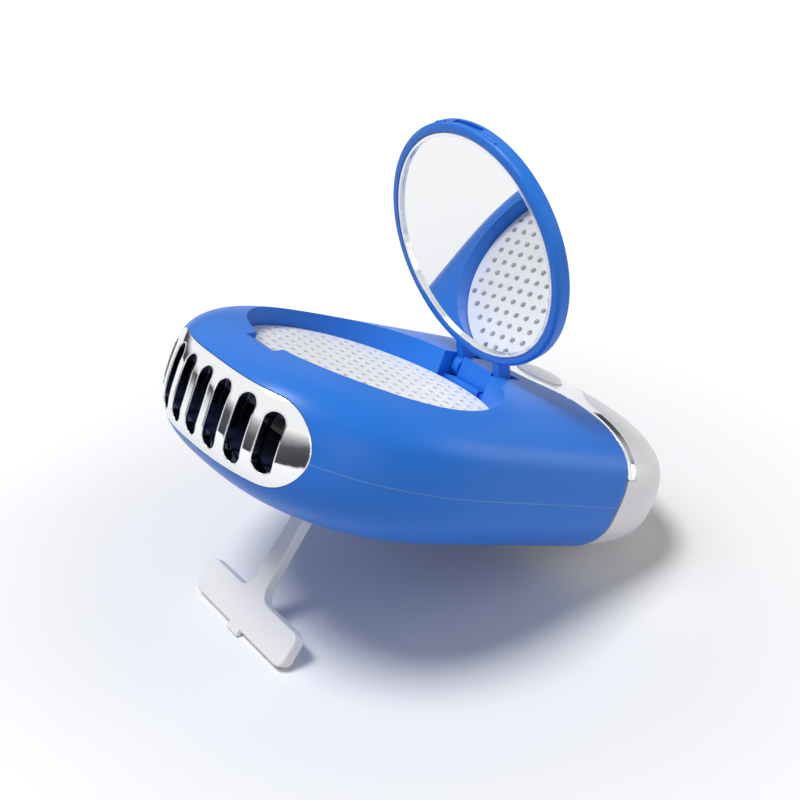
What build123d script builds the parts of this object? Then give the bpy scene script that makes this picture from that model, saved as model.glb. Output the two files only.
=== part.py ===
from build123d import *
from math import atan2, cos, degrees, hypot, pi, radians, sin
import os

os.makedirs("parts", exist_ok=True)

# Working frame while the pieces are made: millimetres, origin at the centre of the intake
# screen's upper face, X toward the air outlet, Z square to the screen. The finished object
# is tipped by TILT and set down on its leg at the end.

# Body form
TILT = 24.4
PART_Z = -11.6
HALF_WIDTH = 43.0
NOSE_START = -6.5
NOSE_LENGTH = 51.4
REAR_X = -51.7
TOP_RISE = 18.2
BOTTOM_DROP = 20.2
PLAN_POWER = 2.28
TOP_POWER = 3.4
BOTTOM_POWER = 2.65
WALL = 2.0
SECTION_POINTS = 24
NOSE_STATIONS = 10
TIP_TRIM = 0.35
STATION_STEP = 8.0
LIP_HEIGHT = 1.2

# Rear cap form
CAP_X = -55.0
CAP_LENGTH = 29.6
CAP_HALF_WIDTH = 42.7
CAP_RISE = 18.1
CAP_DROP = 20.3
CAP_PLAN_POWER = 2.65
CAP_TOP_POWER = 2.84
CAP_WALL = 2.8
CAP_BOTTOM_POWER = 2.49
SPIGOT_DEPTH = 6.5
SPIGOT_OUTER_INSET = 2.15
SPIGOT_INNER_INSET = 3.4

# Recess, screen and filter
RECESS_RADIUS = 31.4
RECESS_TUBE_RADIUS = 33.4
LEDGE_RADIUS = 29.6
LEDGE_TOP_Z = -1.25
TUBE_BOTTOM_Z = -3.4
SCREEN_RADIUS = 31.2
SCREEN_THICKNESS = 1.2
SCREEN_HOLE_RADIUS = 0.8
SCREEN_PITCH = 3.5
SCREEN_GRID_TURN = -8.4
SCREEN_GRID_SHIFT = (-1.65, 0.9)
SCREEN_HOLE_LIMIT = 30.2
FILTER_RADIUS = 29.3
FILTER_BOTTOM_Z = -4.3
NOTCH_HALF_WIDTH = 5.3
NOTCH_OUTER_X = 36.2
NOTCH_DEPTH = 1.5

# Lid hinge
PIVOT_X = -36.5
PIVOT_Z = 3.56
LID_OPEN_ANGLE = 59.0
POCKET_HALF_WIDTH = 8.7
POCKET_BACK_X = -41.4
POCKET_WALL = 1.9
POST_HALF_WIDTH = 5.4
POST_FRONT_X = -33.9
ARM_INNER_Y = 5.8
ARM_OUTER_Y = 8.3
ARM_RADIUS = 2.9
HINGE_PIN_RADIUS = 1.0
HINGE_PIN_HALF_LENGTH = 9.9
HINGE_RUNNING_GAP = 0.06
SILL_TOP_Z = 1.2
SILL_FRONT_X = -31.7

# Mirror lid, measured closed: lip plane down, dome up
LID_RADIUS = 30.5
LID_LIP_Z = 2.8
LID_WALL_HEIGHT = 3.5
LID_DOME_RISE = 1.5
LID_EDGE_RADIUS = 1.0
LID_MOUTH_RADIUS = 28.3
MIRROR_DEPTH = 0.9
MIRROR_THICKNESS = 1.6
MIRROR_RADIUS = 28.0
MIRROR_RING_INNER = 27.3
MIRROR_RING_OUTER = 28.15
THUMB_HALF_WIDTH = 4.8
THUMB_Z = 1.2
THUMB_HEIGHT = 1.6
THUMB_DEPTH = 1.0
CLICK_RIB_TURN = 16.5
CLICK_RIB_Z = 1.0
CLICK_RIB_LENGTH = 3.6
CLICK_RIB_RADIUS = 0.35

# Outlet grille
GRILLE_TOP_Z = -1.05
GRILLE_BOTTOM_Z = -20.75
GRILLE_HALF_WIDTH = 29.1
GRILLE_THICKNESS = 2.4
GRILLE_GAP = 0.12
GRILLE_BACK_X = 27.5
SLOT_COUNT = 7
SLOT_PITCH = 7.05
SLOT_WIDTH = 4.6
SLOT_TOP_Z = -3.0
SLOT_BOTTOM_Z = -18.65
SLOT_END_SHORTENING = 1.1

# Rear trim, its outline seen from above (x, y from the middle outward), and the button
TRIM_FRONT = [(-46.0, 0.0), (-46.6, 4.5), (-48.1, 9.0), (-50.2, 13.5), (-51.6, 17.5), (-51.95, 23.0),
              (-51.95, 31.0), (-52.2, 38.0), (-52.8, 46.0)]
TRIM_REAR = [(-69.6, 0.0), (-69.0, 4.3), (-66.6, 8.6), (-62.8, 12.6), (-60.0, 16.2), (-58.6, 20.5),
             (-58.2, 27.0), (-57.5, 35.0), (-56.3, 42.0), (-55.4, 46.0)]
TRIM_THICKNESS = 1.3
TRIM_GAP = 0.1
TRIM_END_Z = -4.7
TRIM_END_ROUND = 1.6
CAP_FRONT_X = -52.6
BUTTON_X = -57.8
BUTTON_HALF_DEPTH = 4.6
BUTTON_HALF_WIDTH = 7.3
BUTTON_GAP = 0.3
BUTTON_TOP_Z = 7.7
BUTTON_DOME_RADIUS = 60.0
BUTTON_EDGE = 0.7
BUTTON_FLANGE = 1.4
BUTTON_FLANGE_TOP_Z = 2.85
BUTTON_FLANGE_Z = 1.8
BUTTON_TRAVEL = 0.5

# Blower
HOUSING_TOP_Z = -5.8
HOUSING_BOTTOM_Z = -18.6
HOUSING_WALL = 1.6
CHAMBER_RADIUS = 28.3
CHAMBER_Y = 2.6
DUCT_END_X = 42.0
DUCT_HALF_WIDTH = 24.5
INLET_RADIUS = 17.0
INLET_PLATE_TOP_Z = -4.3
WHEEL_RADIUS = 21.5
WHEEL_BOTTOM_Z = -16.3
WHEEL_TOP_Z = -7.2
WHEEL_PLATE = 1.0
HUB_RADIUS = 6.0
BLADE_COUNT = 22
BLADE_INNER_RADIUS = 14.5
BLADE_THICKNESS = 0.9
BLADE_TURN = 38.0
MOTOR_RADIUS = 12.0
MOTOR_BOTTOM_Z = -25.5
MOTOR_TOP_Z = -18.6
MOTOR_CUP_DEPTH = 3.2
SHAFT_RADIUS = 1.0
SHAFT_GAP = 0.06

# Electrical pieces
BATTERY_SIZE = (29.0, 47.0, 7.2)
BATTERY_X = -55.0
BATTERY_TOP_Z = -17.2
BATTERY_FOAM = 1.2
BATTERY_RIBS = (-41.5, -47.0)
BOARD_SIZE = (27.5, 40.0, 1.2)
BOARD_X = -64.25
BOARD_TOP_Z = -3.0
BOARD_POST_X = -73.0
BOARD_POST_Y = 15.0
SWITCH_SIDE = 6.0
SWITCH_HEIGHT = 3.0
SWITCH_PLUNGER = 1.0
SOCKET_SIZE = (7.4, 9.0, 3.2)
SOCKET_FRONT_X = -83.2
SOCKET_WALL = 0.4
WIRE_RADIUS = 0.6

# Support leg, measured unfolded
LEG_PIVOT_X = 2.7
LEG_PIVOT_Z = -29.5
LEG_SPLAY = 15.0
LEG_THICKNESS = 3.2
LEG_BARREL_RADIUS = 2.2
LEG_BARREL_HALF_WIDTH = 2.9
LEG_TOP_WIDTH = 4.2
LEG_LOW_WIDTH = 5.8
FOOT_HALF_LENGTH = 19.7
FOOT_HEIGHT = 9.0
FOOT_CORNER = 2.6
FOOT_FILLET = 3.5
FOOT_EDGE = 0.5
FOOT_TAB_SIZE = (4.6, 1.5, 1.1)
LEG_PIN_RADIUS = 0.9
LEG_RUNNING_GAP = 0.08
LEG_BAY_GAP = 0.7
LEG_BAY_ROOF_Z = -27.2
LEG_BAY_WALL = 1.4
LEG_BAY_FRONT = 2.6

# Screws
CASE_SCREWS = [(-20.0, 30.0), (-44.5, 33.5)]
SCREW_RADIUS = 1.1
SCREW_HEAD_RADIUS = 2.0
SCREW_HEAD_HEIGHT = 1.4
SCREW_BOSS_RADIUS = 3.1
SCREW_SEAT_Z = -20.0
SCREW_TOP_Z = -4.5


# Small helpers

def box(x0, x1, y0, y1, z0, z1):
    centre = Pos((x0 + x1) / 2, (y0 + y1) / 2, (z0 + z1) / 2)
    return centre * Box(x1 - x0, y1 - y0, z1 - z0)


def rod(x, y, z0, z1, radius):
    return Pos(x, y, (z0 + z1) / 2) * Cylinder(radius, z1 - z0)


def cross_rod(x, z, half_length, radius):
    return Pos(x, 0, z) * Rot(90, 0, 0) * Cylinder(radius, 2 * half_length)


def fall(u, power):
    return max(0.0, 1 - u ** power) ** (1 / power)


def section(x, half_width, rise, drop, top_power, bottom_power):
    points = []
    for i in range(SECTION_POINTS):
        c = cos(2 * pi * i / SECTION_POINTS)
        s = sin(2 * pi * i / SECTION_POINTS)
        power = top_power if s >= 0 else bottom_power
        height = rise if s >= 0 else drop
        reach = (abs(c) ** power + abs(s) ** power) ** (-1 / power)
        points.append(Vector(x, half_width * c * reach, PART_Z + height * s * reach))
    return Wire([Edge.make_spline(points, periodic=True)])


def body_section(x, inset):
    return section(x, HALF_WIDTH - inset, TOP_RISE - inset, BOTTOM_DROP - inset, TOP_POWER, BOTTOM_POWER)


def cap_section(x, inset, u=0.0):
    return section(x, (CAP_HALF_WIDTH - inset) * fall(u, CAP_PLAN_POWER),
                   (CAP_RISE - inset) * fall(u, CAP_TOP_POWER),
                   (CAP_DROP - inset) * fall(u, CAP_BOTTOM_POWER),
                   CAP_TOP_POWER, CAP_BOTTOM_POWER)


def body_form(inset, back_x):
    steps = round((NOSE_START - back_x) / STATION_STEP)
    wires = []
    for i in range(steps):
        wires.append(body_section(back_x + (NOSE_START - back_x) * i / steps, inset))
    length = NOSE_LENGTH - inset
    for i in range(NOSE_STATIONS):
        u = sin(pi / 2 * i / (NOSE_STATIONS - TIP_TRIM))
        wires.append(section(NOSE_START + length * u, (HALF_WIDTH - inset) * fall(u, PLAN_POWER),
                             (TOP_RISE - inset) * fall(u, TOP_POWER),
                             (BOTTOM_DROP - inset) * fall(u, BOTTOM_POWER),
                             TOP_POWER, BOTTOM_POWER))
    return Part() + Solid.make_loft(wires, False)


def body_band(x0, x1, outer_inset, inner_inset):
    outer = Solid.make_loft([body_section(x0, outer_inset), body_section(x1, outer_inset)], True)
    inner = Solid.make_loft([body_section(x0 - 1, inner_inset), body_section(x1 + 1, inner_inset)], True)
    return Part() + outer - inner


def skin_form(inset, front_x):
    wires = [body_section(front_x, inset), body_section(REAR_X, inset), cap_section(CAP_X, inset)]
    return Part() + Solid.make_loft(wires, True) + cap_form(inset)


def cap_form(inset):
    wires = []
    length = CAP_LENGTH - inset
    for i in range(NOSE_STATIONS):
        u = sin(pi / 2 * i / (NOSE_STATIONS - TIP_TRIM))
        wires.append(cap_section(CAP_X - length * u, inset, u))
    return Part() + Solid.make_loft(wires, False)


def obround_prism(half_width, top_z, bottom_z, x0, x1, y=0.0):
    height = top_z - bottom_z
    if half_width * 2 > height:
        outline = SlotOverall(2 * half_width, height)
    else:
        outline = SlotOverall(height, 2 * half_width, rotation=90)
    plane = Plane(origin=(x0, y, (top_z + bottom_z) / 2), x_dir=(0, 1, 0), z_dir=(1, 0, 0))
    return extrude(plane * outline, x1 - x0)


def turn_about(shape, x, z, angle):
    return Pos(x, 0, z) * Rot(0, angle, 0) * Pos(-x, 0, -z) * shape


def both_sides(points):
    return [(x, side * y) for x, y in points for side in (1, -1)]


# Shared forms

body_outer = body_form(0.0, REAR_X)
body_cavity = body_form(WALL, REAR_X - 2.0)
cap_outer = cap_form(0.0)
cap_cavity = cap_form(CAP_WALL)
above = box(-200, 200, -200, 200, PART_Z, 200)
below = box(-200, 200, -200, 200, -200, PART_Z)


# Shells

def mirrored(points):
    return [(x, -y) for x, y in reversed(points[1:])] + points


def trim_zone(grow, z0):
    front = Spline(*[(x + grow, y) for x, y in mirrored(TRIM_FRONT)])
    rear = Spline(*[(x - grow, y) for x, y in mirrored(TRIM_REAR)])
    outline = make_face([front, Line(front @ 1, rear @ 1), rear, Line(rear @ 0, front @ 0)])
    return Pos(0, 0, z0) * extrude(outline, 30)


def button_plug(grow, z0, z1):
    outline = Pos(BUTTON_X, 0, z0) * Ellipse(BUTTON_HALF_DEPTH + grow, BUTTON_HALF_WIDTH + grow)
    return extrude(outline, z1 - z0)


def grille_opening():
    return obround_prism(GRILLE_HALF_WIDTH, GRILLE_TOP_Z, GRILLE_BOTTOM_Z, GRILLE_BACK_X, 60.0)


def finger_notch():
    run = NOTCH_OUTER_X - RECESS_RADIUS + 1.5
    slope = degrees(atan2(NOTCH_DEPTH, run))
    cutter = Pos(0, 0, 5) * Box(20, 2 * NOTCH_HALF_WIDTH, 10)
    cutter = fillet(cutter.edges().filter_by(Axis.Z).group_by(Axis.X)[-1], 2.5)
    return Pos(NOTCH_OUTER_X, 0, 4.35) * Rot(0, -slope, 0) * Pos(-10, 0, 0) * cutter


def lip_plug(inset, z1):
    return body_form(inset, REAR_X + 6.0) & box(-200, 200, -200, 200, PART_Z - 1.0, z1)


def make_upper_shell():
    tube = body_outer & rod(0, 0, TUBE_BOTTOM_Z, 30, RECESS_TUBE_RADIUS)
    hinge_block = box(POCKET_BACK_X - POCKET_WALL, -28, -POCKET_HALF_WIDTH - POCKET_WALL,
                      POCKET_HALF_WIDTH + POCKET_WALL, TUBE_BOTTOM_Z, 30) & body_outer
    shell = (body_outer & above) - lip_plug(0.95, PART_Z + LIP_HEIGHT + 0.1) - body_cavity
    shell += tube + hinge_block
    shell -= rod(0, 0, LEDGE_TOP_Z, 30, RECESS_RADIUS)
    shell -= rod(0, 0, TUBE_BOTTOM_Z - 1, 30, LEDGE_RADIUS)
    shell -= box(POCKET_BACK_X, -29.5, -POCKET_HALF_WIDTH, POCKET_HALF_WIDTH, LEDGE_TOP_Z, 30)
    post = box(POCKET_BACK_X - 0.5, POST_FRONT_X, -POST_HALF_WIDTH, POST_HALF_WIDTH, LEDGE_TOP_Z, 30)
    shell += post & body_outer
    shell += box(SILL_FRONT_X - 1.6, SILL_FRONT_X, -POST_HALF_WIDTH, POST_HALF_WIDTH,
                 LEDGE_TOP_Z - 0.5, SILL_TOP_Z)
    shell += box(POST_FRONT_X - 0.5, SILL_FRONT_X - 0.8, -POCKET_HALF_WIDTH, POCKET_HALF_WIDTH,
                 LEDGE_TOP_Z - 0.5, SILL_TOP_Z - 0.6)
    shell -= cross_rod(PIVOT_X, PIVOT_Z, HINGE_PIN_HALF_LENGTH + 0.1, HINGE_PIN_RADIUS)
    shell -= finger_notch()
    shell -= trim_zone(TRIM_GAP, 0.0)
    shell -= grille_opening()
    for x, y in both_sides(CASE_SCREWS):
        boss = rod(x, y, PART_Z + 1.5, 5, SCREW_BOSS_RADIUS - 0.2) & body_outer
        shell += boss - rod(x, y, PART_Z, SCREW_TOP_Z + 0.3, SCREW_RADIUS)
        shell -= rod(x, y, PART_Z, SCREW_TOP_Z + 0.3, SCREW_RADIUS)
    return shell


def leg_bay(grow, roof_z):
    reach = leg_length + FOOT_TAB_SIZE[1] + LEG_BAY_GAP + grow
    stem = box(LEG_PIVOT_X - reach, LEG_PIVOT_X + LEG_BAY_FRONT + grow,
               -LEG_BARREL_HALF_WIDTH - LEG_BAY_GAP - grow, LEG_BARREL_HALF_WIDTH + LEG_BAY_GAP + grow,
               -60, roof_z)
    foot_x = LEG_PIVOT_X - leg_length + FOOT_HEIGHT + LEG_BAY_GAP + grow
    foot = box(LEG_PIVOT_X - reach, foot_x, -FOOT_HALF_LENGTH - LEG_BAY_GAP - grow,
               FOOT_HALF_LENGTH + LEG_BAY_GAP + grow, -60, roof_z)
    neck = LEG_LOW_WIDTH / 2 + FOOT_FILLET + LEG_BAY_GAP + grow
    return stem + foot + box(LEG_PIVOT_X - reach, foot_x + FOOT_FILLET, -neck, neck, -60, roof_z)


def make_lower_shell():
    shell = (body_outer & below) + lip_plug(1.05, PART_Z + LIP_HEIGHT) - body_cavity
    bay = leg_bay(LEG_BAY_WALL, LEG_BAY_ROOF_Z + LEG_BAY_WALL)
    cheeks = box(LEG_PIVOT_X - 3.2, LEG_PIVOT_X + 4.4, -6.2, 6.2, -60, LEG_BAY_ROOF_Z + LEG_BAY_WALL)
    shell += (bay + cheeks) & body_outer
    shell -= leg_bay(0.0, LEG_BAY_ROOF_Z)
    shell -= cross_rod(LEG_PIVOT_X, LEG_PIVOT_Z, 5.1, LEG_PIN_RADIUS)
    for x, y in ((-18.0, 20.0), (-18.0, -20.0), (20.0, 17.0), (20.0, -17.0)):
        shell += rod(x, y, -40, HOUSING_BOTTOM_Z, 2.2) & body_outer
    for x in BATTERY_RIBS:
        rib = box(x - 0.7, x + 0.7, -20, 20, -40, BATTERY_TOP_Z - BATTERY_SIZE[2] - BATTERY_FOAM)
        shell += rib & body_outer
    for x, y in both_sides(CASE_SCREWS):
        shell += rod(x, y, -60, PART_Z + 1.5, SCREW_BOSS_RADIUS) & body_outer
        shell -= rod(x, y, SCREW_SEAT_Z, PART_Z + 5, SCREW_RADIUS + 0.15)
        shell -= rod(x, y, -60, SCREW_SEAT_Z, SCREW_HEAD_RADIUS + 0.3)
    shell -= grille_opening()
    return shell


# Outlet grille

def slot_ends(y):
    outer_slot = abs(y) > SLOT_PITCH * (SLOT_COUNT / 2 - 1)
    trim = SLOT_END_SHORTENING if outer_slot else 0.0
    return SLOT_TOP_Z - trim, SLOT_BOTTOM_Z + trim


def make_grille():
    skin = body_outer - body_form(GRILLE_THICKNESS, 20.0)
    window = obround_prism(GRILLE_HALF_WIDTH - GRILLE_GAP, GRILLE_TOP_Z - GRILLE_GAP,
                           GRILLE_BOTTOM_Z + GRILLE_GAP, GRILLE_BACK_X, 60.0)
    grille = skin & window
    for i in range(SLOT_COUNT):
        y = SLOT_PITCH * (i - (SLOT_COUNT - 1) / 2)
        top_z, bottom_z = slot_ends(y)
        grille -= obround_prism(SLOT_WIDTH / 2, top_z, bottom_z, GRILLE_BACK_X - 1, 60.0, y)
    return grille


# Rear trim, cap, button and light

def make_rear_trim():
    ends = box(-57.0, -52.2, -60, 60, TRIM_END_Z, 12)
    ends = fillet(ends.edges().filter_by(Axis.Y).group_by(Axis.Z)[0], TRIM_END_ROUND)
    zone = trim_zone(0.0, -20.0) & (ends + box(-80, -40, -60, 60, 0, 12))
    trim = (skin_form(0.0, -43.0) - skin_form(TRIM_THICKNESS, -42.0)) & zone
    return trim - button_plug(BUTTON_GAP, 0, 20)


def make_rear_cap():
    front = Solid.make_loft([body_section(CAP_FRONT_X, 0.05), cap_section(CAP_X, 0.0)], True)
    cap = cap_outer + front - cap_cavity
    cap -= Solid.make_loft([body_section(CAP_X - 1, CAP_WALL), body_section(REAR_X + 1, CAP_WALL)], True)
    step = skin_form(-1.0, -48.0) - skin_form(TRIM_THICKNESS + TRIM_GAP, -47.0)
    cap -= step & trim_zone(TRIM_GAP, TRIM_END_Z - TRIM_GAP)
    spigot = body_band(CAP_X - 1.5, CAP_X + SPIGOT_DEPTH, SPIGOT_OUTER_INSET, SPIGOT_INNER_INSET)
    cap += spigot & skin_form(TRIM_THICKNESS + TRIM_GAP, CAP_X + SPIGOT_DEPTH + 2)
    for y in (BOARD_POST_Y, -BOARD_POST_Y):
        cap += rod(BOARD_POST_X, y, BOARD_TOP_Z, 3, 2.4)
        cap += rod(BOARD_POST_X, y, 2, 20, 2.4) & cap_form(1.0)
        cap -= rod(BOARD_POST_X, y, BOARD_TOP_Z - 1, BOARD_TOP_Z + 4, SCREW_RADIUS)
    cap -= button_plug(BUTTON_GAP, 0, 20)
    socket_z = BOARD_TOP_Z - BOARD_SIZE[2] - SOCKET_SIZE[2] / 2
    cap -= Pos(-82, 0, socket_z) * Box(12, SOCKET_SIZE[1] + 0.6, SOCKET_SIZE[2] + 0.6)
    return cap


def make_power_button():
    body = button_plug(0.0, BUTTON_FLANGE_Z, BUTTON_TOP_Z + 1)
    body &= Pos(BUTTON_X, 0, BUTTON_TOP_Z - BUTTON_DOME_RADIUS) * Sphere(BUTTON_DOME_RADIUS)
    body = fillet(body.faces().sort_by(Axis.Z)[-1].edges(), BUTTON_EDGE)
    flange = button_plug(BUTTON_FLANGE, BUTTON_FLANGE_Z, BUTTON_FLANGE_TOP_Z)
    stem_z = BOARD_TOP_Z + SWITCH_HEIGHT + SWITCH_PLUNGER + BUTTON_TRAVEL + 0.1
    return body + flange + rod(BUTTON_X, 0, stem_z, BUTTON_FLANGE_Z, 2.0)


# Screen, filter and blower

def make_screen():
    disc = Circle(SCREEN_RADIUS)
    count = int(SCREEN_RADIUS / SCREEN_PITCH) + 1
    turn = radians(SCREEN_GRID_TURN)
    spots = []
    for i in range(-count, count + 1):
        for j in range(-count, count + 1):
            u = i * SCREEN_PITCH + SCREEN_GRID_SHIFT[0]
            v = j * SCREEN_PITCH + SCREEN_GRID_SHIFT[1]
            x = u * cos(turn) - v * sin(turn)
            y = u * sin(turn) + v * cos(turn)
            if hypot(x, y) < SCREEN_HOLE_LIMIT:
                spots.append((x, y))
    sheet = disc - Locations(*spots) * Circle(SCREEN_HOLE_RADIUS)
    return Pos(0, 0, -SCREEN_THICKNESS) * extrude(sheet, SCREEN_THICKNESS)


def make_filter():
    return rod(0, 0, FILTER_BOTTOM_Z, -SCREEN_THICKNESS, FILTER_RADIUS)


def housing_plan(grow):
    chamber = Pos(0, CHAMBER_Y) * Circle(CHAMBER_RADIUS + grow)
    low = CHAMBER_Y - CHAMBER_RADIUS
    high = CHAMBER_Y + CHAMBER_RADIUS
    end = DUCT_HALF_WIDTH + grow
    duct = make_face(Polyline((0, low - grow), (DUCT_END_X, -end), (DUCT_END_X, end), (0, high + grow),
                              close=True))
    return chamber + duct


def make_housing():
    height = HOUSING_TOP_Z - HOUSING_BOTTOM_Z
    outer = Pos(0, 0, HOUSING_BOTTOM_Z) * extrude(housing_plan(HOUSING_WALL), height)
    floor_z = HOUSING_BOTTOM_Z + HOUSING_WALL
    inner = Pos(0, 0, floor_z) * extrude(housing_plan(0.0), 30)
    housing = (outer - inner) & body_form(GRILLE_THICKNESS + 0.4, -40.0)
    cup = rod(0, 0, HOUSING_BOTTOM_Z - MOTOR_CUP_DEPTH, HOUSING_BOTTOM_Z, MOTOR_RADIUS + 1.4)
    housing += cup - rod(0, 0, -40, HOUSING_BOTTOM_Z, MOTOR_RADIUS)
    housing -= rod(0, 0, HOUSING_BOTTOM_Z - 1, floor_z + 1, 3.2)
    return housing


def make_inlet_plate():
    plate = Pos(0, 0, HOUSING_TOP_Z) * extrude(housing_plan(HOUSING_WALL), INLET_PLATE_TOP_Z - HOUSING_TOP_Z)
    plate &= body_form(GRILLE_THICKNESS + 0.4, -40.0)
    plate -= rod(0, 0, -10, 0, INLET_RADIUS)
    for angle in (30, 90, 150):
        spoke = Pos(0, 0, (HOUSING_TOP_Z + INLET_PLATE_TOP_Z) / 2) * Rot(0, 0, angle) * Box(
            2 * INLET_RADIUS + 2, 1.6, INLET_PLATE_TOP_Z - HOUSING_TOP_Z)
        plate += spoke
    return plate


def make_wheel():
    wheel = rod(0, 0, WHEEL_BOTTOM_Z, WHEEL_BOTTOM_Z + WHEEL_PLATE, WHEEL_RADIUS)
    wheel += rod(0, 0, WHEEL_BOTTOM_Z, -9.0, HUB_RADIUS)
    rim = rod(0, 0, WHEEL_TOP_Z - 0.8, WHEEL_TOP_Z, WHEEL_RADIUS)
    wheel += rim - rod(0, 0, WHEEL_TOP_Z - 2, 0, WHEEL_RADIUS - 2.2)
    length = (WHEEL_RADIUS - BLADE_INNER_RADIUS) / cos(radians(BLADE_TURN)) - 0.6
    height = WHEEL_TOP_Z - 0.3 - WHEEL_BOTTOM_Z - WHEEL_PLATE / 2
    blade = Box(length, BLADE_THICKNESS, height)
    middle = (WHEEL_RADIUS + BLADE_INNER_RADIUS) / 2
    z = WHEEL_BOTTOM_Z + WHEEL_PLATE / 2 + height / 2
    for i in range(BLADE_COUNT):
        wheel += Rot(0, 0, 360 * i / BLADE_COUNT) * Pos(middle, 0, z) * Rot(0, 0, BLADE_TURN) * blade
    return wheel - rod(0, 0, -30, 0, SHAFT_RADIUS)


def make_motor():
    can = rod(0, 0, MOTOR_BOTTOM_Z, MOTOR_TOP_Z, MOTOR_RADIUS)
    can = fillet(can.edges().group_by(Axis.Z)[0], 1.0)
    can += rod(0, 0, MOTOR_TOP_Z - 0.5, MOTOR_TOP_Z + 1.4, 3.0)
    return can - rod(0, 0, MOTOR_BOTTOM_Z + 1.2, 0, SHAFT_RADIUS + SHAFT_GAP)


def make_motor_shaft():
    return rod(0, 0, MOTOR_BOTTOM_Z + 1.5, -9.4, SHAFT_RADIUS)


# Electrical pieces

def make_battery():
    size_x, size_y, size_z = BATTERY_SIZE
    cell = Pos(BATTERY_X, 0, BATTERY_TOP_Z - size_z / 2) * Box(size_x, size_y, size_z)
    return fillet(cell.edges().filter_by(Axis.X), 2.0)


def make_battery_foam():
    size_x, size_y, size_z = BATTERY_SIZE
    z = BATTERY_TOP_Z - size_z
    return box(BATTERY_X - size_x / 2 + 2, BATTERY_X + size_x / 2 - 1, -size_y / 2 + 5, size_y / 2 - 5,
               z - BATTERY_FOAM, z)


def make_board():
    size_x, size_y, size_z = BOARD_SIZE
    board = Pos(BOARD_X, 0, BOARD_TOP_Z - size_z / 2) * Box(size_x, size_y, size_z)
    board = fillet(board.edges().filter_by(Axis.Z).group_by(Axis.X)[0], 5.0)
    for y in (BOARD_POST_Y, -BOARD_POST_Y):
        board -= rod(BOARD_POST_X, y, -10, 0, SCREW_RADIUS + 0.1)
    chip_z = BOARD_TOP_Z - size_z
    board += box(-60, -54, 5, 11, chip_z - 1.0, chip_z)
    board += box(-66, -62, -12, -8, chip_z - 1.4, chip_z)
    return board


def make_button_switch():
    z = BOARD_TOP_Z
    base = Pos(BUTTON_X, 0, z + SWITCH_HEIGHT / 2) * Box(SWITCH_SIDE, SWITCH_SIDE, SWITCH_HEIGHT)
    return base + rod(BUTTON_X, 0, z + SWITCH_HEIGHT, z + SWITCH_HEIGHT + SWITCH_PLUNGER, 1.7)


def make_socket():
    size_x, size_y, size_z = SOCKET_SIZE
    z = BOARD_TOP_Z - BOARD_SIZE[2] - size_z / 2
    body = Pos(SOCKET_FRONT_X + size_x / 2, 0, z) * Box(size_x, size_y, size_z)
    body = fillet(body.edges().filter_by(Axis.X), 1.0)
    inner_y = size_y - 2 * SOCKET_WALL
    inner_z = size_z - 2 * SOCKET_WALL
    mouth = Pos(SOCKET_FRONT_X + 3.0, 0, z) * Box(6.2, inner_y, inner_z)
    mouth = fillet(mouth.edges().filter_by(Axis.X), 0.8)
    tongue = Pos(SOCKET_FRONT_X + 3.6, 0, z) * Box(5.6, inner_y - 2.4, 0.7)
    return body - mouth + tongue


def lead(points, radii):
    path = FilletPolyline(*[Vector(*p) for p in points], radius=radii)
    start = Plane(origin=path @ 0, z_dir=path % 0)
    return sweep(start * Circle(WIRE_RADIUS), path)


def make_motor_leads():
    edge_x = BOARD_X + BOARD_SIZE[0] / 2
    return [lead([(-11.9, 2 + step, -23.2), (-34.5, 12 + step, -23.2), (-38.0, 13 + step, -3.6),
                  (edge_x, 13 + step, -3.6)], [7.0, 5.0]) for step in (0.0, 1.7)]


def make_battery_leads():
    edge_x = BOARD_X + BOARD_SIZE[0] / 2
    return [lead([(-42.0, y, BATTERY_TOP_Z), (-42.0, y, -3.6), (edge_x, y, -3.6)], [3.8])
            for y in (-13.0, -14.7)]


def make_screw(x, y, seat_z, tip_z, direction):
    shank = rod(x, y, min(seat_z, tip_z), max(seat_z, tip_z), SCREW_RADIUS)
    head_end = seat_z - direction * SCREW_HEAD_HEIGHT
    head = rod(x, y, min(seat_z, head_end), max(seat_z, head_end), SCREW_HEAD_RADIUS)
    slot_z = head_end
    cross = Box(2.2, 0.5, 1.2) + Box(0.5, 2.2, 1.2)
    return shank + head - Pos(x, y, slot_z) * cross


def make_case_screws():
    return [make_screw(x, y, SCREW_SEAT_Z, SCREW_TOP_Z, 1) for x, y in both_sides(CASE_SCREWS)]


def make_board_screws():
    seat = BOARD_TOP_Z - BOARD_SIZE[2]
    return [make_screw(BOARD_POST_X, y, seat, BOARD_TOP_Z + 3.6, 1) for y in (BOARD_POST_Y, -BOARD_POST_Y)]


# Mirror lid, made closed and then opened

def opened(shape):
    return turn_about(shape, PIVOT_X, PIVOT_Z, -LID_OPEN_ANGLE)


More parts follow.
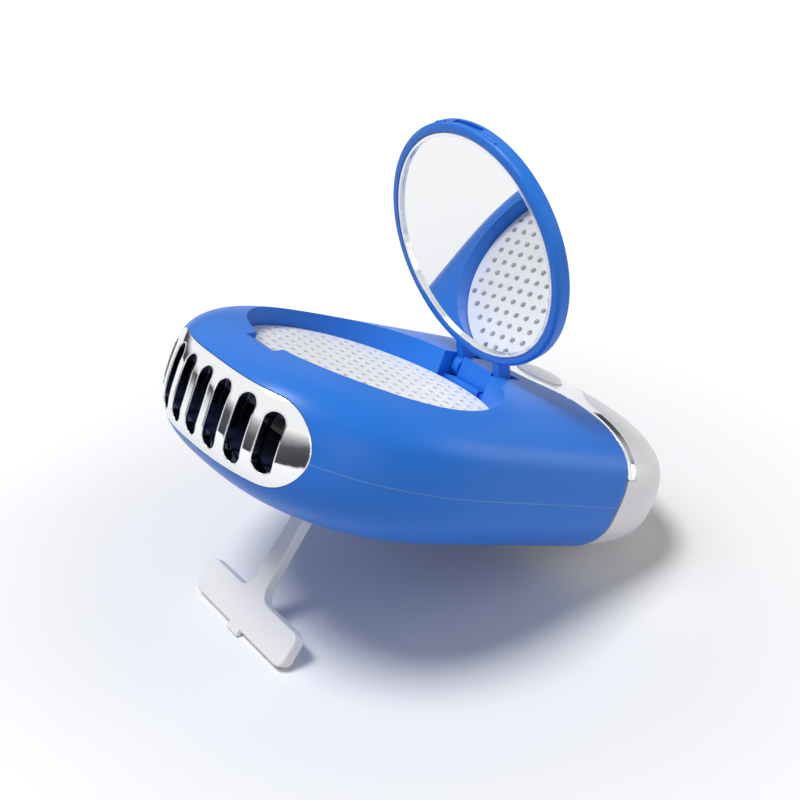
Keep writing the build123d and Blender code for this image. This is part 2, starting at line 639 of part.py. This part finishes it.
def make_lid():
    wall_top = LID_LIP_Z + LID_WALL_HEIGHT
    dome_radius = (LID_RADIUS ** 2 + LID_DOME_RISE ** 2) / (2 * LID_DOME_RISE)
    lid = rod(0, 0, LID_LIP_Z, wall_top + LID_DOME_RISE, LID_RADIUS)
    lid &= Pos(0, 0, wall_top + LID_DOME_RISE - dome_radius) * Sphere(dome_radius)
    lid = fillet(lid.edges().group_by(Axis.Z)[0] + lid.edges().group_by(Axis.Z)[-1], LID_EDGE_RADIUS)
    arm_height = PIVOT_Z + ARM_RADIUS
    for side in (1, -1):
        y0 = min(side * ARM_INNER_Y, side * ARM_OUTER_Y)
        y1 = max(side * ARM_INNER_Y, side * ARM_OUTER_Y)
        arm = Pos(PIVOT_X, (y0 + y1) / 2, PIVOT_Z) * Rot(90, 0, 0) * Cylinder(ARM_RADIUS, y1 - y0)
        arm += box(PIVOT_X, -29.2, y0, y1, LID_LIP_Z + 0.1, arm_height)
        lid += arm
    lid -= rod(0, 0, LID_LIP_Z - 1, LID_LIP_Z + MIRROR_DEPTH + MIRROR_THICKNESS, LID_MOUTH_RADIUS)
    lid -= cross_rod(PIVOT_X, PIVOT_Z, 12, HINGE_PIN_RADIUS + HINGE_RUNNING_GAP)
    lid -= box(LID_RADIUS - THUMB_DEPTH, 40, -THUMB_HALF_WIDTH, THUMB_HALF_WIDTH,
               LID_LIP_Z + THUMB_Z, LID_LIP_Z + THUMB_Z + THUMB_HEIGHT)
    rib = Rot(90, 0, 0) * Cylinder(CLICK_RIB_RADIUS, CLICK_RIB_LENGTH)
    rib = Pos(LID_RADIUS - 0.05, 0, LID_LIP_Z + CLICK_RIB_Z) * rib
    for side in (1, -1):
        lid += Rot(0, 0, side * CLICK_RIB_TURN) * rib
    return lid


def make_mirror():
    z = LID_LIP_Z + MIRROR_DEPTH
    return rod(0, 0, z, z + MIRROR_THICKNESS, MIRROR_RADIUS)


def make_mirror_ring():
    z = LID_LIP_Z + 0.15
    ring = rod(0, 0, z, LID_LIP_Z + MIRROR_DEPTH, MIRROR_RING_OUTER)
    return ring - rod(0, 0, 0, 20, MIRROR_RING_INNER)


def make_lid_pin():
    return cross_rod(PIVOT_X, PIVOT_Z, HINGE_PIN_HALF_LENGTH, HINGE_PIN_RADIUS)


# Support leg, made straight down from its pivot and then splayed forward

def make_leg(length):
    top_half = LEG_TOP_WIDTH / 2
    low_half = LEG_LOW_WIDTH / 2
    foot_top = length - FOOT_HEIGHT
    stem = make_face(Polyline((-top_half, 0), (top_half, 0), (low_half, -foot_top - 2),
                              (-low_half, -foot_top - 2), close=True))
    foot = RectangleRounded(2 * FOOT_HALF_LENGTH, FOOT_HEIGHT, FOOT_CORNER)
    foot = Pos(0, -length + FOOT_HEIGHT / 2) * foot
    outline = stem + foot
    inner = outline.vertices().sort_by_distance((0, -foot_top))[:2]
    outline = fillet(inner, FOOT_FILLET)
    front = Plane(origin=(0, 0, 0), x_dir=(0, 1, 0), z_dir=(1, 0, 0))
    leg = extrude(front * outline, LEG_THICKNESS / 2, both=True)
    leg = fillet(leg.faces().sort_by(Axis.X)[-1].edges() + leg.faces().sort_by(Axis.X)[0].edges(), FOOT_EDGE)
    leg += Rot(90, 0, 0) * Cylinder(LEG_BARREL_RADIUS, 2 * LEG_BARREL_HALF_WIDTH)
    tab_width, tab_reach, tab_thickness = FOOT_TAB_SIZE
    leg += box(LEG_THICKNESS / 2 - tab_thickness, LEG_THICKNESS / 2,
               -tab_width / 2, tab_width / 2, -length - tab_reach, -length + 2)
    leg -= Rot(90, 0, 0) * Cylinder(LEG_PIN_RADIUS + LEG_RUNNING_GAP, 20)
    return Pos(LEG_PIVOT_X, 0, LEG_PIVOT_Z) * Rot(0, -LEG_SPLAY, 0) * leg


def make_leg_pin():
    return cross_rod(LEG_PIVOT_X, LEG_PIVOT_Z, 5.0, LEG_PIN_RADIUS)


# The leg is as long as it takes for its foot to reach the floor under the tipped cap

tip = Rot(0, -TILT, 0)
floor_z = (tip * cap_outer).bounding_box().min.Z
pivot_height = LEG_PIVOT_X * sin(radians(TILT)) + LEG_PIVOT_Z * cos(radians(TILT)) - floor_z
lean = radians(TILT + LEG_SPLAY)
foot_round = FOOT_EDGE * (cos(lean) + sin(lean) - 1)
leg_length = (pivot_height - LEG_THICKNESS / 2 * sin(lean) + foot_round) / cos(lean)

pieces = {
    "upper_shell": make_upper_shell(),
    "lower_shell": make_lower_shell(),
    "outlet_grille": make_grille(),
    "rear_trim": make_rear_trim(),
    "rear_cap": make_rear_cap(),
    "power_button": make_power_button(),
    "intake_screen": make_screen(),
    "filter_foam": make_filter(),
    "inlet_plate": make_inlet_plate(),
    "blower_housing": make_housing(),
    "blower_wheel": make_wheel(),
    "motor": make_motor(),
    "motor_shaft": make_motor_shaft(),
    "battery": make_battery(),
    "battery_foam": make_battery_foam(),
    "circuit_board": make_board(),
    "button_switch": make_button_switch(),
    "charging_socket": make_socket(),
    "board_screws": make_board_screws(),
    "case_screws": make_case_screws(),
    "motor_leads": make_motor_leads(),
    "battery_leads": make_battery_leads(),
    "mirror_lid": opened(make_lid()),
    "mirror_glass": opened(make_mirror()),
    "mirror_ring": opened(make_mirror_ring()),
    "lid_hinge_pin": make_lid_pin(),
    "support_leg": make_leg(leg_length),
    "leg_hinge_pin": make_leg_pin(),
}

# Set the object down: tipped, resting on foot and cap, centred on its own box

placed = {}
for name, shape in pieces.items():
    group = shape if isinstance(shape, list) else [shape]
    placed[name] = [tip * solid for part in group for solid in part.solids()]

whole = Compound([solid for group in placed.values() for solid in group]).bounding_box()
shift = Pos(-(whole.min.X + whole.max.X) / 2, 0, -floor_z)

for name, group in placed.items():
    solids = [shift * solid for solid in group]
    model = solids[0] if len(solids) == 1 else Compound(solids)
    model.label = name
    export_step(model, f"parts/{name}.step")
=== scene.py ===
import math

import bmesh
import bpy
from mathutils import Matrix, Vector

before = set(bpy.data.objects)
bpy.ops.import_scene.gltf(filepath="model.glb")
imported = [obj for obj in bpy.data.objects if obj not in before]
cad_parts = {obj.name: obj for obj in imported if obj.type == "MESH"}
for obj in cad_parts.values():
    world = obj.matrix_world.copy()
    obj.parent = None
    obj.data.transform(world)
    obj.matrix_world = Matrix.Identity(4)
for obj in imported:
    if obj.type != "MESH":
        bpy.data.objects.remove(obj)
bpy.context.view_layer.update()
scene = bpy.context.scene

# The fan is drawn level in millimetres, tipped nose up about Y, then set down on the floor
TIP = math.radians(24.4)
SET_DOWN = Vector((0.013571, 0.0, 0.056859))
MM = 0.001
PARTING_HEIGHT = -11.6


def tipped(x, y, z):
    """Turn a direction on the level fan into one in the part's frame."""
    c, s = math.cos(TIP), math.sin(TIP)
    return Vector((x * c - z * s, y, x * s + z * c))


def placed(x, y, z):
    """Turn a place on the level fan, in millimetres, into one in the part's frame, in metres."""
    return tipped(x, y, z) * MM + SET_DOWN


# Short ways to build node trees

def feed(tree, socket, value):
    """Link a socket to another one, or give it a plain value."""
    if isinstance(value, bpy.types.NodeSocket):
        tree.links.new(value, socket)
    else:
        socket.default_value = value


def add_math(tree, operation, *values):
    node = tree.nodes.new("ShaderNodeMath")
    node.operation = operation
    for socket, value in zip(node.inputs, values):
        feed(tree, socket, value)
    return node.outputs[0]


def add_mix(tree, share, first, second):
    """Mix two colours; a share of 1 gives the second."""
    node = tree.nodes.new("ShaderNodeMix")
    node.data_type = "RGBA"
    feed(tree, node.inputs["Factor"], share)
    feed(tree, node.inputs["A"], first)
    feed(tree, node.inputs["B"], second)
    return node.outputs["Result"]


def add_ramp(tree, place, stops):
    """Colour ramp through stops of a position and a colour, in rising order."""
    node = tree.nodes.new("ShaderNodeValToRGB")
    elements = node.color_ramp.elements
    while len(elements) < len(stops):
        elements.new(1.0)
    for element, (position, colour) in zip(elements, stops):
        element.position = position
        element.color = (*colour, 1)
    feed(tree, node.inputs["Fac"], place)
    return node.outputs["Color"]


def new_group(name, inputs, outputs):
    group = bpy.data.node_groups.new(name, "ShaderNodeTree")
    for label, kind, value in inputs:
        socket = group.interface.new_socket(label, in_out="INPUT", socket_type=kind)
        socket.default_value = value
    for label, kind in outputs:
        group.interface.new_socket(label, in_out="OUTPUT", socket_type=kind)
    entry = group.nodes.new("NodeGroupInput")
    leave = group.nodes.new("NodeGroupOutput")
    return group, entry, leave


# Fine surface of every piece
DRIFT_SCALE = 28.0
DRIFT_DETAIL = 3.0
GRAIN_DETAIL = 2.0
ROUGHNESS_SWING = 0.12
NOISE_MIDDLE = 0.5


def make_surface_group():
    """Slow drift of the tone and the roughness, and the height of a fine grain."""
    group, entry, leave = new_group(
        "fine_surface",
        [("Tone", "NodeSocketColor", (0.8, 0.8, 0.8, 1)), ("Drift", "NodeSocketFloat", 0.06),
         ("Roughness", "NodeSocketFloat", 0.35), ("Grain", "NodeSocketFloat", 2600.0)],
        [("Color", "NodeSocketColor"), ("Roughness", "NodeSocketFloat"), ("Height", "NodeSocketFloat")])
    place = group.nodes.new("ShaderNodeTexCoord")
    slow = group.nodes.new("ShaderNodeTexNoise")
    slow.inputs["Scale"].default_value = DRIFT_SCALE
    slow.inputs["Detail"].default_value = DRIFT_DETAIL
    group.links.new(place.outputs["Object"], slow.inputs["Vector"])
    fine = group.nodes.new("ShaderNodeTexNoise")
    fine.inputs["Detail"].default_value = GRAIN_DETAIL
    group.links.new(place.outputs["Object"], fine.inputs["Vector"])
    group.links.new(entry.outputs["Grain"], fine.inputs["Scale"])
    shift = add_math(group, "SUBTRACT", slow.outputs["Fac"], NOISE_MIDDLE)
    change = add_math(group, "MULTIPLY", shift, entry.outputs["Drift"])
    bright = group.nodes.new("ShaderNodeHueSaturation")
    feed(group, bright.inputs["Value"], add_math(group, "ADD", change, 1.0))
    feed(group, bright.inputs["Color"], entry.outputs["Tone"])
    rough = add_math(group, "MULTIPLY_ADD", shift, ROUGHNESS_SWING, entry.outputs["Roughness"])
    group.links.new(bright.outputs["Color"], leave.inputs["Color"])
    group.links.new(rough, leave.inputs["Roughness"])
    group.links.new(fine.outputs["Fac"], leave.inputs["Height"])
    return group


# Line where the two shells meet: a painted highlight in a paler tone, and a slight sink
SEAM_WIDTH = 0.00016
# The seam's paler tone and its share are a painted highlight along the line.
SEAM_HIGHLIGHT_TONE = (0.26, 0.48, 0.92)
SEAM_HIGHLIGHT_SHARE = 0.8
SEAM_RELIEF = 0.3
SEAM_DEPTH = 0.0001


def make_seam_group():
    """Mask of the line where the two shells meet, and its depth, from the distance to the parting plane."""
    group, entry, leave = new_group(
        "seam", [("Level", "NodeSocketFloat", 0.0), ("Width", "NodeSocketFloat", 0.0001)],
        [("Line", "NodeSocketFloat"), ("Depth", "NodeSocketFloat")])
    place = group.nodes.new("ShaderNodeTexCoord")
    height = group.nodes.new("ShaderNodeVectorMath")
    height.operation = "DOT_PRODUCT"
    height.inputs[1].default_value = tipped(0, 0, 1)
    group.links.new(place.outputs["Object"], height.inputs[0])
    away = add_math(group, "SUBTRACT", height.outputs["Value"], entry.outputs["Level"])
    line = group.nodes.new("ShaderNodeMapRange")
    feed(group, line.inputs["Value"], add_math(group, "ABSOLUTE", away))
    line.inputs["From Min"].default_value = 0.0
    group.links.new(entry.outputs["Width"], line.inputs["From Max"])
    line.inputs["To Min"].default_value = 1.0
    line.inputs["To Max"].default_value = 0.0
    depth = add_math(group, "MULTIPLY", line.outputs["Result"], -1.0)
    group.links.new(line.outputs["Result"], leave.inputs["Line"])
    group.links.new(depth, leave.inputs["Depth"])
    return group


surface_group = make_surface_group()
seam_group = make_seam_group()

# Finishes
GRAIN_DEPTH = 0.00004
EDGE_SAMPLES = 6
SCATTER_DEPTH = 0.0012


def finish(name, tone, roughness, drift=0.06, grain=2600.0, bump=0.12, coat=0.0, coat_roughness=0.1,
           metallic=0.0, edge=0.00025, subsurface=0.0, specular=0.5):
    """Material with a fine surface and softened edges; edge is their radius in metres."""
    material = bpy.data.materials.new(name)
    material.use_nodes = True
    tree = material.node_tree
    shader = tree.nodes["Principled BSDF"]
    shader.inputs["Metallic"].default_value = metallic
    shader.inputs["Specular IOR Level"].default_value = specular
    shader.inputs["Coat Weight"].default_value = coat
    shader.inputs["Coat Roughness"].default_value = coat_roughness
    if subsurface:
        shader.inputs["Subsurface Weight"].default_value = subsurface
        shader.inputs["Subsurface Radius"].default_value = (SCATTER_DEPTH, SCATTER_DEPTH, SCATTER_DEPTH)
    surface = tree.nodes.new("ShaderNodeGroup")
    surface.node_tree = surface_group
    surface.inputs["Tone"].default_value = (*tone, 1)
    surface.inputs["Drift"].default_value = drift
    surface.inputs["Roughness"].default_value = roughness
    surface.inputs["Grain"].default_value = grain
    tree.links.new(surface.outputs["Color"], shader.inputs["Base Color"])
    tree.links.new(surface.outputs["Roughness"], shader.inputs["Roughness"])
    soft = tree.nodes.new("ShaderNodeBevel")
    soft.samples = EDGE_SAMPLES
    soft.inputs["Radius"].default_value = edge
    relief = tree.nodes.new("ShaderNodeBump")
    relief.inputs["Strength"].default_value = bump
    relief.inputs["Distance"].default_value = GRAIN_DEPTH
    tree.links.new(soft.outputs["Normal"], relief.inputs["Normal"])
    tree.links.new(surface.outputs["Height"], relief.inputs["Height"])
    tree.links.new(relief.outputs["Normal"], shader.inputs["Normal"])
    return material


def add_seam(material):
    """Show the line where the two shells meet as paler, a painted highlight, and slightly sunk."""
    tree = material.node_tree
    shader = tree.nodes["Principled BSDF"]
    seam = tree.nodes.new("ShaderNodeGroup")
    seam.node_tree = seam_group
    seam.inputs["Level"].default_value = tipped(0, 0, 1).dot(placed(0, 0, PARTING_HEIGHT))
    seam.inputs["Width"].default_value = SEAM_WIDTH
    # The paler seam tone mixed in here is a painted highlight along the line.
    share = add_math(tree, "MULTIPLY", seam.outputs["Line"], SEAM_HIGHLIGHT_SHARE)
    shell_tone = shader.inputs["Base Color"].links[0].from_socket
    tree.links.new(add_mix(tree, share, shell_tone, (*SEAM_HIGHLIGHT_TONE, 1)), shader.inputs["Base Color"])
    relief = tree.nodes.new("ShaderNodeBump")
    relief.inputs["Strength"].default_value = SEAM_RELIEF
    relief.inputs["Distance"].default_value = SEAM_DEPTH
    tree.links.new(shader.inputs["Normal"].links[0].from_socket, relief.inputs["Normal"])
    tree.links.new(seam.outputs["Depth"], relief.inputs["Height"])
    tree.links.new(relief.outputs["Normal"], shader.inputs["Normal"])
    return material


SATIN_BLUE = {"tone": (0.017, 0.190, 0.75), "roughness": 0.38, "drift": 0.05, "bump": 0.10, "coat": 0.06,
              "coat_roughness": 0.25, "specular": 0.30}
BLUE = finish("satin_blue", **SATIN_BLUE)
SHELL_BLUE = add_seam(finish("satin_blue_shell", **SATIN_BLUE))
WHITE = finish("satin_white", (0.87, 0.865, 0.885), 0.38, drift=0.03, bump=0.08, coat=0.1, subsurface=0.15)
CHROME = finish("bright_chrome", (0.875, 0.885, 0.90), 0.06, drift=0.02, grain=900.0, bump=0.02, metallic=1.0,
                edge=0.0006)
MIRROR = finish("silvered_glass", (0.900, 0.905, 0.910), 0.012, drift=0.01, grain=300.0, bump=0.0,
                metallic=1.0, edge=0.0001)
SCREEN = finish("screen_white", (0.92, 0.925, 0.935), 0.5, drift=0.03, bump=0.15, edge=0.00012)
FOAM = finish("grey_foam", (0.60, 0.61, 0.64), 0.9, drift=0.25, grain=1400.0, bump=0.9)
NAVY = finish("navy_inner", (0.012, 0.017, 0.06), 0.5, drift=0.1)
WHEEL = finish("pale_wheel", (0.55, 0.56, 0.58), 0.45)
STEEL = finish("plain_steel", (0.56, 0.57, 0.59), 0.28, drift=0.08, grain=1800.0, metallic=1.0)
POUCH = finish("foil_pouch", (0.50, 0.51, 0.54), 0.35, drift=0.08, metallic=0.8)
BOARD = finish("solder_mask", (0.02, 0.16, 0.06), 0.4, drift=0.15)
BLACK = finish("black_part", (0.02, 0.02, 0.022), 0.45)
RED = finish("lead_red", (0.45, 0.02, 0.02), 0.4)
DARK = finish("lead_black", (0.02, 0.02, 0.02), 0.45)

FINISHES = {
    "upper_shell": SHELL_BLUE, "lower_shell": SHELL_BLUE, "mirror_lid": BLUE,
    "outlet_grille": CHROME, "rear_trim": CHROME, "mirror_ring": CHROME,
    "rear_cap": WHITE, "power_button": WHITE, "support_leg": WHITE,
    "mirror_glass": MIRROR, "intake_screen": SCREEN,
    "filter_foam": FOAM, "battery_foam": FOAM,
    "inlet_plate": NAVY, "blower_housing": NAVY, "blower_wheel": WHEEL,
    "motor": STEEL, "motor_shaft": STEEL, "board_screws": STEEL, "case_screws": STEEL,
    "charging_socket": STEEL, "lid_hinge_pin": STEEL, "leg_hinge_pin": STEEL,
    "battery": POUCH, "circuit_board": BOARD, "button_switch": BLACK,
    "motor_leads": RED, "battery_leads": DARK,
}

for name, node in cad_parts.items():
    node.data.materials.clear()
    node.data.materials.append(FINISHES[name])

# Floor. Its glow is painted light, given by distance from the fan, in metres, up to the reach: near the fan
# it lightens the outer part of the fan's shadow, and far out it runs into the white backdrop.
FLOOR_HALF = 3.0
FLOOR_ROUGHNESS = 0.7
FLOOR_CLOUD_SCALE = 6.0
FLOOR_TONES = ((0.0, (0.90, 0.905, 0.92)), (1.0, (0.93, 0.935, 0.945)))
FLOOR_BOUNCE_TONE = (0.62, 0.62, 0.64)
FLOOR_REACH = 2.0
FLOOR_PAINTED_GLOW = ((0.08, 0.02), (0.16, 0.21), (0.60, 0.30), (1.90, 1.00))
MIRRORED_PAINTED_GLOW = 0.45


def make_floor_material():
    """Pale tone for the eye and for mirrors, greyer for the light that it throws back, and a painted glow
    that grows with distance from the fan, lightening the outer part of its shadow.
    """
    material = bpy.data.materials.new("floor_pale")
    material.use_nodes = True
    tree = material.node_tree
    shader = tree.nodes["Principled BSDF"]
    shader.inputs["Roughness"].default_value = FLOOR_ROUGHNESS
    place = tree.nodes.new("ShaderNodeTexCoord")
    cloud = tree.nodes.new("ShaderNodeTexNoise")
    cloud.inputs["Scale"].default_value = FLOOR_CLOUD_SCALE
    tree.links.new(place.outputs["Object"], cloud.inputs["Vector"])
    pale = add_ramp(tree, cloud.outputs["Fac"], FLOOR_TONES)
    path = tree.nodes.new("ShaderNodeLightPath")
    camera_ray = path.outputs["Is Camera Ray"]
    glossy_ray = path.outputs["Is Glossy Ray"]
    seen = add_math(tree, "MAXIMUM", camera_ray, glossy_ray)
    tree.links.new(add_mix(tree, seen, (*FLOOR_BOUNCE_TONE, 1), pale), shader.inputs["Base Color"])
    span = tree.nodes.new("ShaderNodeVectorMath")
    span.operation = "LENGTH"
    tree.links.new(place.outputs["Object"], span.inputs[0])
    share = add_math(tree, "DIVIDE", span.outputs["Value"], FLOOR_REACH)
    # Painted light: this glow lifts the floor and the outer part of the fan's shadow, for the eye and, less,
    # for mirrors.
    glow_stops = [(radius / FLOOR_REACH, (level, level, level)) for radius, level in FLOOR_PAINTED_GLOW]
    glow = add_ramp(tree, share, glow_stops)
    weight = add_math(tree, "MULTIPLY_ADD", glossy_ray, MIRRORED_PAINTED_GLOW, camera_ray)
    tree.links.new(add_math(tree, "MULTIPLY", weight, glow), shader.inputs["Emission Strength"])
    shader.inputs["Emission Color"].default_value = (1.0, 1.0, 1.0, 1)
    return material


def make_floor():
    mesh = bpy.data.meshes.new("floor")
    bm = bmesh.new()
    bmesh.ops.create_grid(bm, x_segments=2, y_segments=2, size=FLOOR_HALF)
    bm.to_mesh(mesh)
    bm.free()
    floor = bpy.data.objects.new("floor", mesh)
    scene.collection.objects.link(floor)
    floor.data.materials.append(make_floor_material())


make_floor()

# World
AMBIENT = 0.16
HORIZON = ((0.0, (0.05, 0.05, 0.06)), (0.12, (0.10, 0.10, 0.115)), (0.30, (1.0, 1.0, 1.0)))


def make_studio_world():
    """Even light for the fan, plain white for the eye, and white over a dark horizon for mirrors."""
    world = bpy.data.worlds.new("studio")
    world.use_nodes = True
    tree = world.node_tree
    background = tree.nodes["Background"]
    background.inputs["Strength"].default_value = 1.0
    place = tree.nodes.new("ShaderNodeTexCoord")
    split = tree.nodes.new("ShaderNodeSeparateXYZ")
    tree.links.new(place.outputs["Generated"], split.inputs[0])
    horizon = add_ramp(tree, split.outputs["Z"], HORIZON)
    path = tree.nodes.new("ShaderNodeLightPath")
    around = add_mix(tree, path.outputs["Is Glossy Ray"], (AMBIENT, AMBIENT, AMBIENT, 1), horizon)
    direct = add_math(tree, "MAXIMUM", path.outputs["Is Camera Ray"], path.outputs["Is Transmission Ray"])
    tree.links.new(add_mix(tree, direct, around, (1.0, 1.0, 1.0, 1)), background.inputs["Color"])
    return world


scene.world = make_studio_world()

# Lamps: name, place, the point that they face, diameter in metres and power in watts
LAMPS = (
    ("key", (0.75, -0.30, 2.20), (0, 0, 0.05), 0.90, 42.0),
    ("fill", (0.95, 1.75, 0.42), (0, 0, 0.05), 1.10, 5.5),
    ("back", (-1.60, 0.95, 0.50), (-0.04, 0, 0.05), 1.10, 8.0),
)


def add_lamp(name, place, target, diameter, power):
    data = bpy.data.lights.new(name, "AREA")
    data.shape = "DISK"
    data.size = diameter
    data.energy = power
    lamp = bpy.data.objects.new(name, data)
    scene.collection.objects.link(lamp)
    lamp.location = place
    lamp.rotation_euler = (Vector(target) - Vector(place)).to_track_quat("-Z", "Y").to_euler()


for lamp_values in LAMPS:
    add_lamp(*lamp_values)

# Camera of the photograph: its place and its directions on the level fan, and its focal length in pixels
FOCAL_PIXELS = 1238.09
PICTURE_PIXELS = 800.0
SENSOR_WIDTH = 36.0
NEAREST = 0.01
FARTHEST = 20.0
CAMERA_AT = (192.46, 208.53, 63.99)
CAMERA_RIGHT = (-0.72612, 0.60364, 0.32918)
CAMERA_DOWN = (-0.08923, 0.39199, -0.91563)
CAMERA_AHEAD = (-0.68175, -0.69423, -0.23077)


def add_camera():
    data = bpy.data.cameras.new("camera")
    data.sensor_width = SENSOR_WIDTH
    data.lens = FOCAL_PIXELS / PICTURE_PIXELS * SENSOR_WIDTH
    data.clip_start = NEAREST
    data.clip_end = FARTHEST
    camera = bpy.data.objects.new("camera", data)
    scene.collection.objects.link(camera)
    sides = Matrix((tipped(*CAMERA_RIGHT), -tipped(*CAMERA_DOWN), -tipped(*CAMERA_AHEAD)))
    camera.matrix_world = Matrix.Translation(placed(*CAMERA_AT)) @ sides.transposed().to_4x4()
    return camera


scene.camera = add_camera()
scene.view_settings.view_transform = "Standard"
